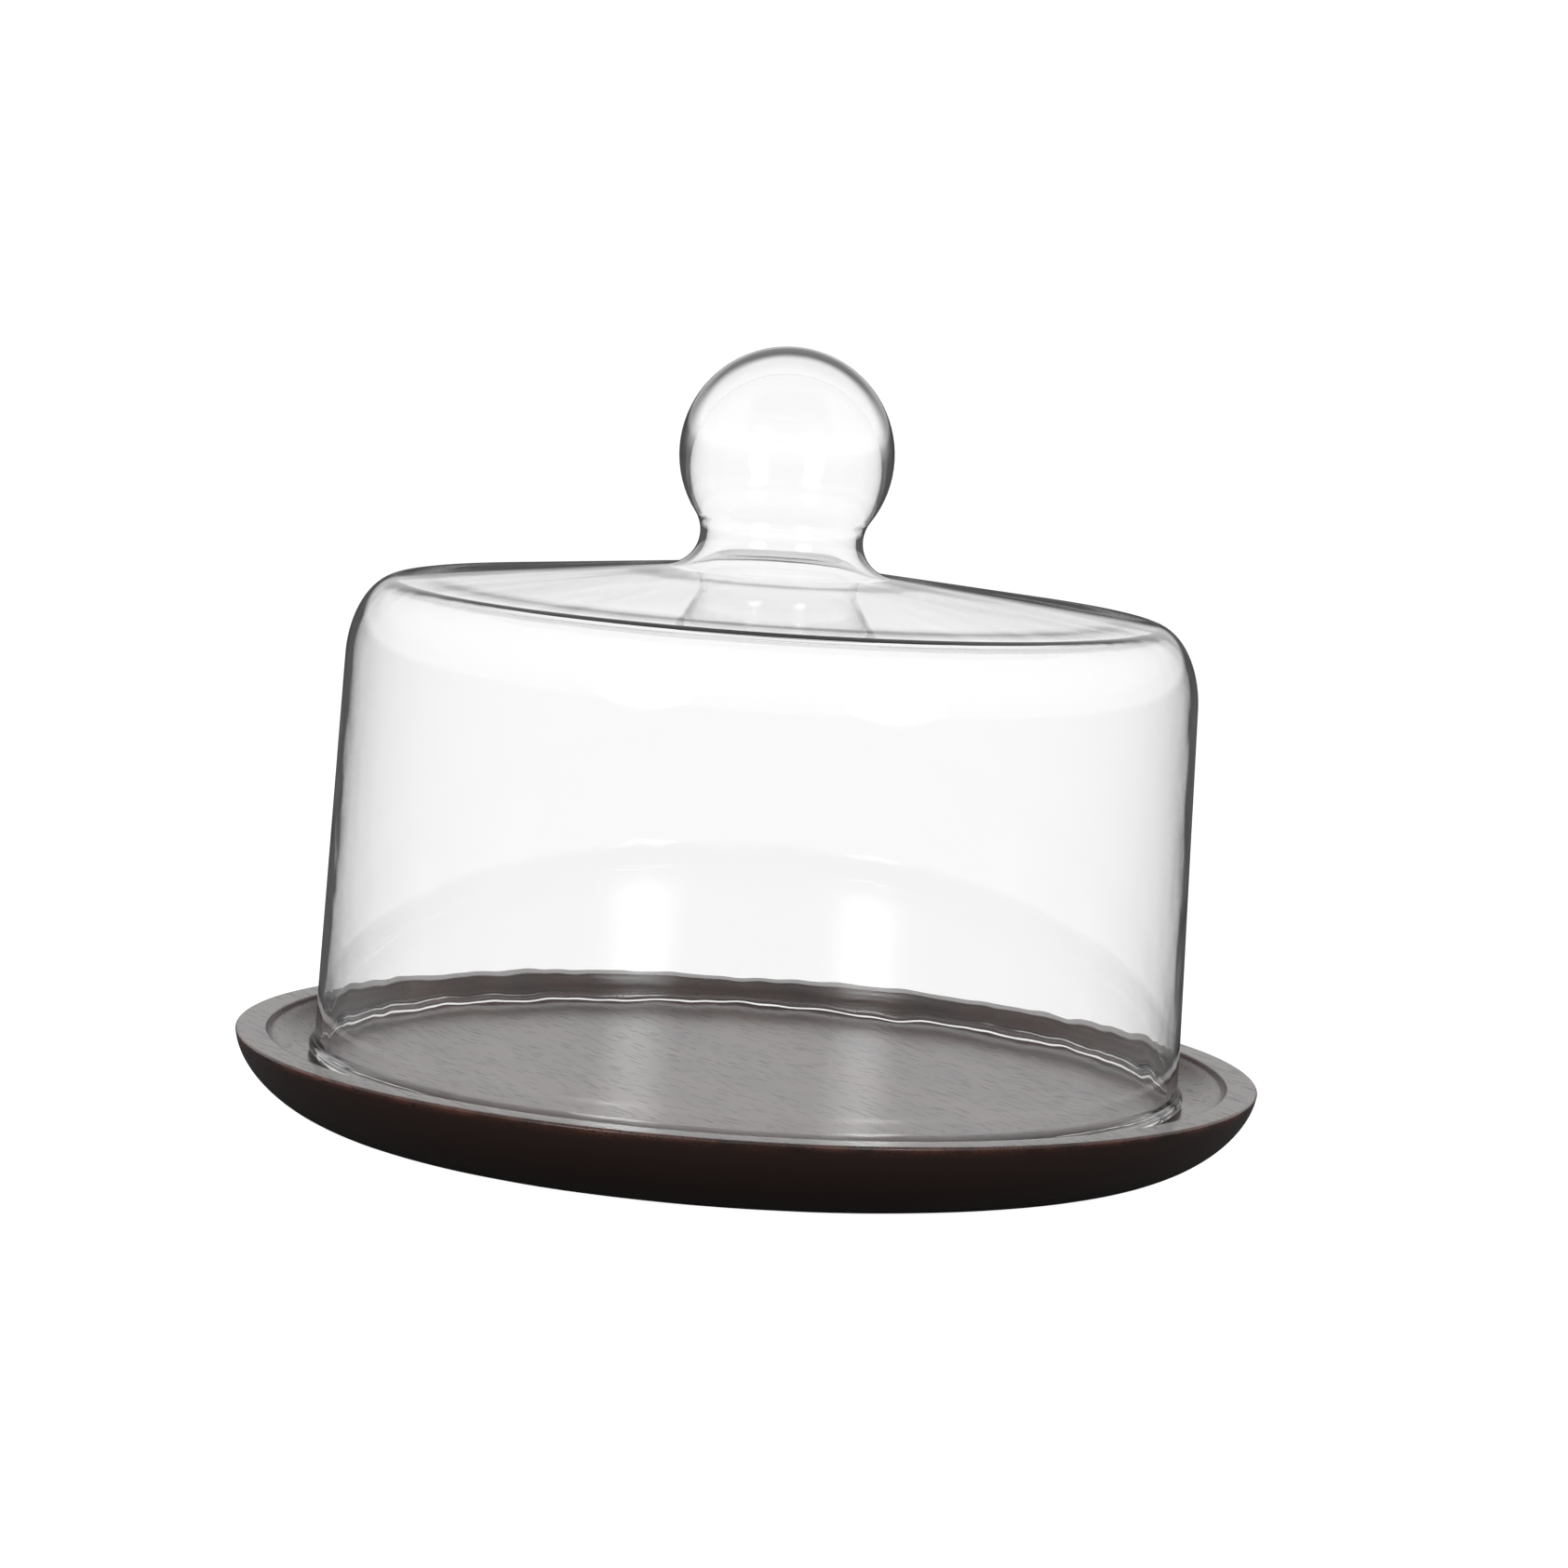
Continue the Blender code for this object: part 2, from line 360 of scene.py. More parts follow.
@dataclass(frozen=True)
class StainedWood:
    """Open-pored hardwood, sanded, stained walnut brown and sprayed with satin lacquer.

    The stain gathers in the open pores, which show as short near-black dashes along the
    grain on top. The bowl side and underside have no pores, and a darker colour there is
    painted shade. Sanding has rubbed the outer edge of the rim through to the redder wood.
    The lacquer is thin enough to dip into the pores.
    """

    rim_radius: float
    rim_height: float
    recess_radius: float
    floor_height: float
    grain_turn: float = 56.0
    dark: str = "#20130f"
    middle: str = "#331e18"
    red: str = "#3d221a"
    pore: str = "#0e0806"
    worn: str = "#74463a"
    # painted shade: the bowl side and underside get this darker colour instead of the stain's
    painted_side_shade: str = "#2c1d19"
    figure_size: tuple[float, float] = (70 * MM, 16 * MM)
    fibre_size: tuple[float, float] = (9 * MM, 0.45 * MM)
    pore_cell: tuple[float, float] = (6.5 * MM, 0.75 * MM)
    pore_size: tuple[float, float] = (3.0 * MM, 0.19 * MM)
    pore_depth: float = 0.02 * MM
    pore_edge: tuple[float, float] = (1.1, 0.6)
    crowd_size: tuple[float, float] = (25 * MM, 7 * MM)
    crowd_range: tuple[float, float] = (0.35, 0.65)
    fewest_pores: float = 0.45
    fibre_depth: float = 0.012 * MM
    fibre_range: tuple[float, float] = (0.25, 0.75)
    fibre_light: tuple[float, float] = (0.7, 1.3)
    figure_stops: tuple[float, float, float] = (0.3, 0.5, 0.72)
    side_fade: tuple[float, float] = (1.2 * MM, 2.6 * MM)
    side_inset: float = 1.0 * MM
    floor_margin: float = 0.3 * MM
    wear_reach: tuple[float, float] = (1.6 * MM, 0.2 * MM)
    wear_drop: tuple[float, float] = (1.6 * MM, 0.5 * MM)
    wear_patch: float = 9 * MM
    wear_range: tuple[float, float] = (0.42, 0.68)
    most_wear: float = 0.75
    roughness: tuple[float, float] = (0.5, 0.7)
    lacquer: float = 0.8
    lacquer_roughness: float = 0.2
    specular: float = 0.3

    def material(self) -> bpy.types.Material:
        """Make the material."""
        material = bpy.data.materials.new("walnut_stained_satin_lacquered_wood")
        material.use_nodes = True
        tree = material.node_tree
        shader = tree.nodes["Principled BSDF"]
        place = add_node(tree, "ShaderNodeTexCoord").outputs["Object"]
        grain = add_node(tree, "ShaderNodeMapping",
                         {"Vector": place, "Rotation": (0, 0, math.radians(self.grain_turn))}
                         ).outputs[0]
        fibres = self.streaks(tree, grain, self.fibre_size, 2.0)
        radius, height = self.from_axis(tree, place)
        # the side's mask: painted shade in the colour there, and the pores left out
        side = self.painted_shade_side(tree, radius, height)
        pores = rescale(tree, side, (0.0, 1.0), (self.pores(tree, grain), 0.0))
        colour = self.stain(tree, grain, fibres)
        worn = self.wear(tree, place, radius, height)
        # the side's colour is painted shade; the worn rim edge and the pores are the wood's own
        for share, code in ((side, self.painted_side_shade), (worn, self.worn), (pores, self.pore)):
            colour = add_node(tree, "ShaderNodeMix",
                              {"Factor": share, 6: colour, 7: linear(code)},
                              data_type="RGBA").outputs[2]
        tree.links.new(colour, shader.inputs["Base Color"])
        rough = rescale(tree, pores, (0.0, 1.0), self.roughness)
        tree.links.new(rough, shader.inputs["Roughness"])
        normal = self.relief(tree, fibres, pores)
        tree.links.new(normal, shader.inputs["Normal"])
        tree.links.new(normal, shader.inputs["Coat Normal"])
        shader.inputs["Coat Weight"].default_value = self.lacquer
        shader.inputs["Coat Roughness"].default_value = self.lacquer_roughness
        shader.inputs["Specular IOR Level"].default_value = self.specular
        return material

    def streaks(self, tree: Tree, grain: Socket, size: tuple[float, float], detail: float
                ) -> Socket:
        """Noise drawn out along the grain.

        Args:
            tree: The material's nodes.
            grain: Coordinates whose X runs along the grain.
            size: The streaks' length and width.
            detail: How many finer layers it has.
        Returns:
            A value from 0 to 1.
        """
        along, across = size
        stretched = add_node(tree, "ShaderNodeMapping",
                             {"Vector": grain, "Scale": (1 / along, 1 / across, 1 / across)})
        return add_node(tree, "ShaderNodeTexNoise",
                        {"Vector": stretched.outputs[0], "Scale": 1.0, "Detail": detail}
                        ).outputs[0]

    def pores(self, tree: Tree, grain: Socket) -> Socket:
        """Open pores: slim ellipsoids along the grain, one at most in each stretched cell.

        Args:
            tree: The material's nodes.
            grain: Coordinates whose X runs along the grain.
        Returns:
            1 in a pore and 0 outside, with a soft edge.
        """
        along, across = self.pore_cell
        length, width = self.pore_size
        place = add_node(tree, "ShaderNodeMapping",
                         {"Vector": grain, "Scale": (1 / along, 1 / across, 1 / across)}
                         ).outputs[0]
        cell = add_node(tree, "ShaderNodeTexVoronoi", {"Vector": place, "Scale": 1.0}).outputs
        away = add_node(tree, "ShaderNodeVectorMath", {0: place, 1: cell["Position"]},
                        operation="SUBTRACT").outputs[0]
        shares = (along / length, across / width, across / width)
        scaled = add_node(tree, "ShaderNodeVectorMath", {0: away, 1: shares},
                          operation="MULTIPLY").outputs[0]
        distance = add_node(tree, "ShaderNodeVectorMath", {0: scaled},
                            operation="LENGTH").outputs["Value"]
        inside = rescale(tree, distance, self.pore_edge, smooth=True)
        crowd = self.streaks(tree, grain, self.crowd_size, 1.0)
        share = rescale(tree, crowd, self.crowd_range, (self.fewest_pores, 1.0))
        draw = add_node(tree, "ShaderNodeSeparateColor", {0: cell["Color"]}).outputs[0]
        there = calculate(tree, "LESS_THAN", draw, share)
        return calculate(tree, "MULTIPLY", inside, there)

    def stain(self, tree: Tree, grain: Socket, fibres: Socket) -> Socket:
        """The stain's colour on top, with the wood's figure under it.

        Args:
            tree: The material's nodes.
            grain: Coordinates whose X runs along the grain.
            fibres: The fine streaks.
        Returns:
            The colour between the pores.
        """
        figure = self.streaks(tree, grain, self.figure_size, 3.0)
        ramp = add_node(tree, "ShaderNodeValToRGB", {0: figure})
        stops = ramp.color_ramp.elements
        first, second, third = self.figure_stops
        stops[0].position = first
        stops[0].color = linear(self.dark)
        stops[1].position = third
        stops[1].color = linear(self.red)
        stops.new(second).color = linear(self.middle)
        light = rescale(tree, fibres, self.fibre_range, self.fibre_light)
        return add_node(tree, "ShaderNodeVectorMath",
                        {0: ramp.outputs[0], "Scale": light}, operation="SCALE").outputs[0]

    def wear(self, tree: Tree, place: Socket, radius: Socket, height: Socket) -> Socket:
        """Where sanding has rubbed the stain off, in patches along the rim's outer edge.

        Args:
            tree: The material's nodes.
            place: Object coordinates.
            radius: The distance from the axis.
            height: The height.
        Returns:
            How much of the stain is gone, from 0 to 1.
        """
        reach = [self.rim_radius - inset for inset in self.wear_reach]
        drop = [self.rim_height - depth for depth in self.wear_drop]
        near_edge = rescale(tree, radius, reach)
        near_top = rescale(tree, height, drop)
        edge = calculate(tree, "MULTIPLY", near_edge, near_top)
        patches = add_node(tree, "ShaderNodeTexNoise",
                           {"Vector": place, "Scale": 1 / self.wear_patch, "Detail": 3.0}
                           ).outputs[0]
        broken = rescale(tree, patches, self.wear_range, (0.0, self.most_wear))
        return calculate(tree, "MULTIPLY", edge, broken)

    def from_axis(self, tree: Tree, place: Socket) -> tuple[Socket, Socket]:
        """The distance from the axis and the height.

        Args:
            tree: The material's nodes.
            place: Object coordinates.
        Returns:
            The distance, then the height.
        """
        flat = add_node(tree, "ShaderNodeVectorMath", {0: place, 1: (1.0, 1.0, 0.0)},
                        operation="MULTIPLY").outputs[0]
        radius = add_node(tree, "ShaderNodeVectorMath", {0: flat},
                          operation="LENGTH").outputs["Value"]
        height = add_node(tree, "ShaderNodeSeparateXYZ", {0: place}).outputs["Z"]
        return radius, height

    def painted_shade_side(self, tree: Tree, radius: Socket, height: Socket) -> Socket:
        """Where the bowl side and the underside are, which get painted shade and no pores.

        Args:
            tree: The material's nodes.
            radius: The distance from the axis.
            height: The height.
        Returns:
            1 on the side and 0 on top.
        """
        fade = [self.rim_height - depth for depth in self.side_fade]
        below = rescale(tree, height, fade, smooth=True)
        outer = calculate(tree, "GREATER_THAN", radius, self.recess_radius + self.side_inset)
        under = calculate(tree, "LESS_THAN", height, self.floor_height - self.floor_margin)
        away = calculate(tree, "MAXIMUM", outer, under)
        return calculate(tree, "MULTIPLY", below, away)

    def relief(self, tree: Tree, fibres: Socket, pores: Socket) -> Socket:
        """The surface's relief: raised fibres and sunken pores.

        Args:
            tree: The material's nodes.
            fibres: The fine streaks.
            pores: The pores.
        Returns:
            The normal.
        """
        raised = calculate(tree, "MULTIPLY", fibres, self.fibre_depth)
        height = calculate(tree, "MULTIPLY_ADD", pores, -self.pore_depth, raised)
        return add_node(tree, "ShaderNodeBump", {"Height": height, "Distance": 1.0}
                        ).outputs[0]


@dataclass
class WoodTray:
    """The tray: one turned disc, bowl-sided, with a shallow recess for the dome."""

    radius: float
    height: float
    foot_radius: float = 90.0 * MM
    side_power: float = 1.72
    rim_width: float = 6.8 * MM
    rim_edge: float = 0.6 * MM
    recess_depth: float = 4.8 * MM
    cove_width: float = 8.5 * MM
    recess_edge: float = 0.4 * MM
    ripple_height: float = 0.02 * MM
    ripple_length: float = 18 * MM
    turn_steps: int = 384
    floor_steps: int = 16
    cove_steps: int = 24
    inner_edge_steps: int = 6
    rim_steps: int = 4
    outer_edge_steps: int = 8
    side_steps: int = 48
    foot_steps: int = 6

    def outline(self) -> Outline:
        """The outline from the centre of the floor, over the rim and under to the axis."""
        floor = self.height - self.recess_depth
        recess = self.radius - self.rim_width
        edge_in = (recess + self.recess_edge, self.height - self.recess_edge)
        edge_out = (self.radius - self.rim_edge, self.height - self.rim_edge)
        cove = self.cove(self.cove_steps)
        outline = Outline()
        outline.add([(0.0, floor), *run((0.0, floor), cove[0], self.floor_steps)],
                    Face.OUTSIDE)
        outline.add(cove, Face.OUTSIDE)
        outline.add(arc(edge_in, self.recess_edge, 180, 90, self.inner_edge_steps),
                    Face.OUTSIDE)
        outline.add(run((edge_in[0], self.height), (edge_out[0], self.height),
                        self.rim_steps), Face.OUTSIDE)
        outline.add(arc(edge_out, self.rim_edge, 90, 0, self.outer_edge_steps), Face.OUTSIDE)
        lowest = edge_out[1] - self.rim_edge
        outline.add([point for point in self.side(self.side_steps) if point[1] < lowest],
                    Face.OUTSIDE)
        foot = (self.foot_radius, 0.0)
        outline.add([*run(foot, (0.0, 0.0), self.foot_steps), (0.0, 0.0)], Face.OUTSIDE)
        return outline

    def cove(self, steps: int) -> list[Point]:
        """The recess's side, from the edge of its floor up to its rounded edge, an ellipse."""
        inner = self.radius - self.rim_width - self.cove_width
        rise = self.recess_depth - self.recess_edge
        angles = [math.pi / 2 * step / steps for step in range(steps + 1)]
        return [(inner + self.cove_width * math.sin(angle),
                 self.height - self.recess_depth + rise * (1 - math.cos(angle)))
                for angle in angles]

    def side(self, steps: int) -> list[Point]:
        """The bowl side, from just under the edge down to the foot, as a superellipse."""
        reach = self.radius - self.foot_radius
        points = []
        for step in range(1, steps + 1):
            angle = math.pi / 2 * step / steps
            out = abs(math.cos(angle)) ** (2 / self.side_power)
            drop = math.sin(angle) ** (2 / self.side_power)
            points.append((self.foot_radius + reach * out, self.height * (1 - drop)))
        return points

    def build(self, lathe: Lathe) -> bpy.types.Object:
        """Turn the tray and dress it.

        Args:
            lathe: The tree that turns it.
        Returns:
            The tray.
        """
        wood = StainedWood(self.radius, self.height, self.radius - self.rim_width,
                           self.height - self.recess_depth)
        outline = self.outline().mesh("tray_outline", lambda height, face: float(height > 0),
                                      lambda height, face: 0.0)
        return lathe.turn("turned_wood_tray", outline,
                          {"Turn Steps": self.turn_steps, "Ripple Height": self.ripple_height,
                           "Ripple Length": self.ripple_length, "Sway Height": 0.0,
                           "Sway Length": 1.0, "Seed": 3.0, "Finish": wood.material()})

    def dress(self, tray: bpy.types.Object) -> None:
        """Put the finished tray on its body, in place of the plain one."""
        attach(tray, "tray")
        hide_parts("wood_tray")


@dataclass
class GlassDome:
    """The dome: one blown shell, open below, with a hollow ball knob and a rolled lip."""

    lowest: float
    highest: float
    lip_radius: float
    radius: float = 95.65 * MM
    taper: float = 0.0222
    wall: float = 1.5 * MM
    lip_thickness: float = 2.4 * MM
    crown_apex: float = 127.5 * MM
    crown_slope: float = 0.108
    shoulder_width: float = 10.0 * MM
    shoulder_drop: float = 17.0 * MM
    knob_radius: float = 23.6 * MM
    hollow_radius: float = 21.0 * MM
    knob_top_wall: float = 5.0 * MM
    neck_radius: float = 17.9 * MM
    neck_height: float = 132.4 * MM
    seat_gap: float = 0.3 * MM
    lip_arc: tuple[float, float] = (45.0, -205.0)
    foot_share: float = 1.5
    foot_step: float = 0.6 * MM
    ripple_height: float = 0.035 * MM
    ripple_length: float = 9 * MM
    ripple_fade: float = 25 * MM
    least_ripple: float = 0.35
    sway_height: float = 0.18 * MM
    sway_length: float = 10 * MM
    sway_reach: float = 6 * MM
    turn_steps: int = 440
    lip_steps: int = 18
    neck_steps: tuple[int, int] = (8, 12)
    outer_steps: tuple[int, int, int, int] = (28, 5, 18, 6)
    inner_steps: tuple[int, int, int, int] = (24, 8, 16, 42)

    def wall_radius(self, height: float, inset: float) -> float:
        """The wall's radius at a height; inset 0 is its outside face."""
        floor = self.lowest - self.seat_gap
        return self.radius - inset - self.taper * (height - floor)

    def knob(self, ball: float, centre: float, neck: float, apex: float, steps: int
             ) -> list[Point]:
        """One face of the knob and neck, from its top to the crown, in arcs that meet.

        Args:
            ball: The ball's radius.
            centre: The height of the ball's centre.
            neck: The neck's radius at its narrowest.
            apex: Where that face of the crown would meet the axis.
            steps: Segments round the ball.
        Returns:
            The points, downwards.
        """
        rise = centre - self.neck_height
        upper = (neck ** 2 + rise ** 2 - ball ** 2) / (2 * (ball - neck))
        ball_end = math.degrees(math.atan2(-rise, neck + upper))
        slope = math.atan(self.crown_slope)
        lower = ((self.neck_height - apex + self.crown_slope * neck)
                 / (1 / math.cos(slope) - self.crown_slope))
        points = arc((0.0, centre), ball, 90, ball_end, steps)
        points[0] = (0.0, centre + ball)
        points += arc((neck + upper, self.neck_height), upper, 180 + ball_end, 180,
                      self.neck_steps[0])
        points += arc((neck + lower, self.neck_height), lower, 180,
                      270 - math.degrees(slope), self.neck_steps[1])
        return points

    def shoulder(self, inset: float, apex: float, steps: int) -> list[Point]:
        """One face of the shoulder, from the crown's edge down to the wall.

        Args:
            inset: How far inside the outer face it lies.
            apex: Where that face of the crown would meet the axis.
            steps: Segments along it.
        Returns:
            The points, downwards.
        """
        width = self.shoulder_width - inset
        drop = self.shoulder_drop - inset
        edge = self.wall_radius(apex - self.crown_slope * self.radius - drop, inset)
        points = []
        for step in range(steps + 1):
            angle = math.pi / 2 * step / steps
            radius = edge - width + width * math.sin(angle)
            height = apex - self.crown_slope * radius - drop * (1 - math.cos(angle))
            points.append((radius, height))
        return points

    def skin(self, inset: float, ball: float, centre: float, apex: float,
             steps: tuple[int, int, int, int]) -> list[Point]:
        """One whole face of the shell, from the knob's top down to the foot of the wall.

        A second point just above the foot keeps the turn into the lip from shading the wall.

        Args:
            inset: How far inside the outer face it lies.
            ball: The ball's radius on this face.
            centre: The height of the ball's centre.
            apex: Where this face of the crown would meet the axis.
            steps: Segments round the ball, along the crown, the shoulder and the wall.
        Returns:
            The points, downwards.
        """
        knob = self.knob(ball, centre, self.neck_radius - inset, apex, steps[0])
        shoulder = self.shoulder(inset, apex, steps[2])
        foot_height = self.lowest + self.foot_share * self.lip_thickness
        foot = (self.wall_radius(foot_height, inset), foot_height)
        low_height = foot_height + self.foot_step
        low = (self.wall_radius(low_height, inset), low_height)
        crown = run(knob[-1], shoulder[0], steps[1])
        return knob + crown + shoulder + run(shoulder[-1], low, steps[3]) + [low, foot]

    def outline(self) -> Outline:
        """The outline down the outside, round the rolled lip and up the inside."""
        round_lip = self.lip_thickness / 2
        lip = (self.lip_radius - round_lip, self.lowest + round_lip)
        inner_apex = self.crown_apex - self.wall * math.hypot(1, self.crown_slope)
        hollow = self.highest - self.knob_top_wall - self.hollow_radius
        outline = Outline()
        outline.add(self.skin(0.0, self.knob_radius, self.highest - self.knob_radius,
                              self.crown_apex, self.outer_steps), Face.OUTSIDE)
        outline.add(arc(lip, round_lip, *self.lip_arc, self.lip_steps), Face.LIP)
        outline.add(self.skin(self.wall, self.hollow_radius, hollow, inner_apex,
                              self.inner_steps)[::-1], Face.INSIDE)
        return outline

    def ripple(self, height: float, face: Face) -> float:
        """A point's share of the ripple, which is in the inner face and strongest low down."""
        near_lip = math.exp(-(height - self.lowest) / self.ripple_fade)
        share = self.least_ripple + (1 - self.least_ripple) * near_lip
        return 0.0 if face is Face.OUTSIDE else share

    def sway(self, height: float, face: Face) -> float:
        """A point's share of the sway, which only the lip has."""
        return math.exp(-((height - self.lowest) / self.sway_reach) ** 2)

    def build(self, lathe: Lathe) -> bpy.types.Object:
        """Turn the dome.

        Args:
            lathe: The tree that turns it.
        Returns:
            The dome.
        """
        outline = self.outline().mesh("dome_outline", self.ripple, self.sway)
        return lathe.turn("blown_glass_dome", outline,
                          {"Turn Steps": self.turn_steps, "Ripple Height": self.ripple_height,
                           "Ripple Length": self.ripple_length,
                           "Sway Height": self.sway_height,
                           "Sway Length": self.sway_length, "Seed": 5.0,
                           "Finish": BlownGlass().material()})

    def dress(self, dome: bpy.types.Object) -> None:
        """Put the finished dome on its body, in place of the plain one, without a shadow."""
        dome.visible_shadow = False
        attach(dome, "dome")
        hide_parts("glass_dome")


@dataclass
class Studio:
    """A white studio: a pale table, two soft boxes in front and a bright band all round.

    The lens sees plain white, straight or through the glass. What the pieces mirror is the
    room: dim from the table down, bright in a band just above it, and grey overhead. Right
    round the tray they mirror instead a dark grey copy of the table that the lens never
    sees, which is painted shade. What the glass turns back inside one wall is dark level
    with the tray and bright above, which draws its edges.
    """

    white: float = 1.06
    floor_level: float = 0.1
    inner_level: float = 0.75
    band_level: float = 0.95
    ceiling_level: float = 0.55
    band: tuple[float, float, float, float] = (3.0, 7.0, 14.0, 24.0)
    edge_level: float = 0.1
    edge_band: tuple[float, float] = (8.0, 24.0)
    table_radius: float = 0.7
    table_colour: str = "#909090"
    table_glow: float = 0.97
    # painted shade: a dark grey copy of the table, just under it, that only the pieces see, in
    # their reflections and their bounced light
    dark_copy_radius: float = 0.22
    dark_copy_colour: str = "#5a5a5a"
    dark_copy_drop: float = 0.5 * MM
    box_distance: float = 1.6
    box_azimuth: float = 33.0
    box_elevation: float = 15.0
    box_size: tuple[float, float] = (0.8, 0.8)
    box_strength: float = 8.5
    box_fade: tuple[float, float] = (1.0, 0.1)

    def world(self) -> None:
        """Surround the scene with the room, and put plain white behind the glass.

        Each rule looks only at how a ray came here and how steeply it leaves. A ray that
        comes straight, or only through glass, meets white. One that was turned back inside
        one wall meets the edge light. All the others meet the room.
        """
        world = bpy.data.worlds.new("white_room")
        world.use_nodes = True
        tree = world.node_tree
        tree.nodes.clear()
        direction = add_node(tree, "ShaderNodeTexCoord").outputs["Generated"]
        rise = add_node(tree, "ShaderNodeSeparateXYZ", {0: direction}).outputs["Z"]
        path = add_node(tree, "ShaderNodeLightPath").outputs
        flag, clear = (math.sin(math.radians(angle)) for angle in self.edge_band)
        edge = rescale(tree, rise, (flag, clear), (self.edge_level, 1.0), smooth=True)
        turned = add_node(tree, "ShaderNodeMix",
                          {"Factor": self.turned_back(tree, path),
                           "A": self.room(tree, path, rise), "B": edge}).outputs[0]
        shown = add_node(tree, "ShaderNodeMix",
                         {"Factor": self.straight(tree, path), "A": turned,
                          "B": self.white}).outputs[0]
        background = add_node(tree, "ShaderNodeBackground",
                              {"Color": (1.0, 1.0, 1.0, 1.0), "Strength": shown}).outputs[0]
        add_node(tree, "ShaderNodeOutputWorld", {"Surface": background})
        bpy.context.scene.world = world

    def room(self, tree: Tree, path: bpy.types.NodeOutputs, rise: Socket) -> Socket:
        """The room that the pieces mirror.

        Its floor is brighter for a ray that has been through more than one wall of glass.

        Args:
            tree: The world's nodes.
            path: What is known of the ray.
            rise: The sine of the ray's elevation.
        Returns:
            How bright the room is there.
        """
        deep = calculate(tree, "GREATER_THAN", path["Transmission Depth"], WALL_PASSAGES + 0.5)
        floor = add_node(tree, "ShaderNodeMix",
                         {"Factor": deep, "A": self.floor_level, "B": self.inner_level}
                         ).outputs[0]
        low, lit, full, high = (math.sin(math.radians(angle)) for angle in self.band)
        lower = rescale(tree, rise, (low, lit), (floor, self.band_level), smooth=True)
        overhead = rescale(tree, rise, (full, high), smooth=True)
        return add_node(tree, "ShaderNodeMix",
                        {"Factor": overhead, "A": lower, "B": self.ceiling_level}).outputs[0]

    def turned_back(self, tree: Tree, path: bpy.types.NodeOutputs) -> Socket:
        """Which rays went into one wall of glass and came out of it again.

        They have made two passages, and the last thing they did was to leave the glass.

        Args:
            tree: The world's nodes.
            path: What is known of the ray.
        Returns:
            1 for such a ray.
        """
        wall = calculate(tree, "COMPARE", path["Transmission Depth"], WALL_PASSAGES, 0.5)
        return calculate(tree, "MULTIPLY", wall, path["Is Transmission Ray"])

    def straight(self, tree: Tree, path: bpy.types.NodeOutputs) -> Socket:
        """Which rays come from the lens with nothing but glass between.

        Such a ray has as many passages as bounces, and here it counts one bounce more, the
        room itself. Any other ray has been mirrored or scattered as well.

        Args:
            tree: The world's nodes.
            path: What is known of the ray.
        Returns:
            1 for such a ray.
        """
        mirrored = calculate(tree, "SUBTRACT", path["Ray Depth"], path["Transmission Depth"])
        unturned = calculate(tree, "LESS_THAN", mirrored, ROOM_BOUNCE + 0.5)
        looking = calculate(tree, "MAXIMUM", path["Is Camera Ray"], path["Is Transmission Ray"])
        return calculate(tree, "MULTIPLY", unturned, looking)

    def sheet(self, name: str, seen: Seen, colour: str, glow: float, height: float,
              radius: float) -> None:
        """Lay one sheet of the table.

        Args:
            name: The sheet's name.
            seen: Which rays meet it.
            colour: Its own colour.
            glow: How much light it gives.
            height: Its height.
            radius: Its radius.
        """
        mesh = bpy.data.meshes.new(name)
        rim = [(radius * math.cos(math.radians(angle)),
                radius * math.sin(math.radians(angle)), height)
               for angle in range(0, 360, 5)]
        mesh.from_pydata(rim, [], [tuple(range(len(rim)))])
        material = bpy.data.materials.new(name)
        material.use_nodes = True
        shader = material.node_tree.nodes["Principled BSDF"]
        shader.inputs["Base Color"].default_value = linear(colour)
        shader.inputs["Roughness"].default_value = 1.0
        shader.inputs["Specular IOR Level"].default_value = 0.0
        shader.inputs["Emission Color"].default_value = (1.0, 1.0, 1.0, 1.0)
        shader.inputs["Emission Strength"].default_value = glow
        mesh.materials.append(material)
        sheet = bpy.data.objects.new(name, mesh)
        bpy.context.scene.collection.objects.link(sheet)
        by_lens = seen is Seen.BY_LENS
        sheet.visible_camera = by_lens
        sheet.visible_glossy = not by_lens
        sheet.visible_diffuse = not by_lens
        sheet.visible_transmission = False
        sheet.visible_shadow = False

    def soft_box(self, name: str, turn: float) -> None:
        """Stand one soft box in front, brightest in its middle.

        It adds its light to the room behind it, so its unlit corners can't be seen.

        Args:
            name: The box's name.
            turn: Its direction from the tray, in degrees to the right of the viewer.
        """
        width, height = self.box_size
        mesh = bpy.data.meshes.new(name)
        corners = [(-width / 2, 0, -height / 2), (width / 2, 0, -height / 2),
                   (width / 2, 0, height / 2), (-width / 2, 0, height / 2)]
        mesh.from_pydata(corners, [], [(3, 2, 1, 0)])
        material = bpy.data.materials.new(name)
        material.use_nodes = True
        tree = material.node_tree
        tree.nodes.clear()
        place = add_node(tree, "ShaderNodeTexCoord").outputs["Object"]
        share = add_node(tree, "ShaderNodeVectorMath",
                         {0: place, 1: (2 / width, 0.0, 2 / height)},
                         operation="MULTIPLY").outputs[0]
        off = add_node(tree, "ShaderNodeVectorMath", {0: share},
                       operation="LENGTH").outputs["Value"]
        strength = rescale(tree, off, self.box_fade, (0.0, self.box_strength), smooth=True)
        glow = add_node(tree, "ShaderNodeEmission", {"Strength": strength}).outputs[0]
        clear = add_node(tree, "ShaderNodeBsdfTransparent").outputs[0]
        both = add_node(tree, "ShaderNodeAddShader", {0: glow, 1: clear}).outputs[0]
        add_node(tree, "ShaderNodeOutputMaterial", {"Surface": both})
        mesh.materials.append(material)
        box = bpy.data.objects.new(name, mesh)
        bpy.context.scene.collection.objects.link(box)
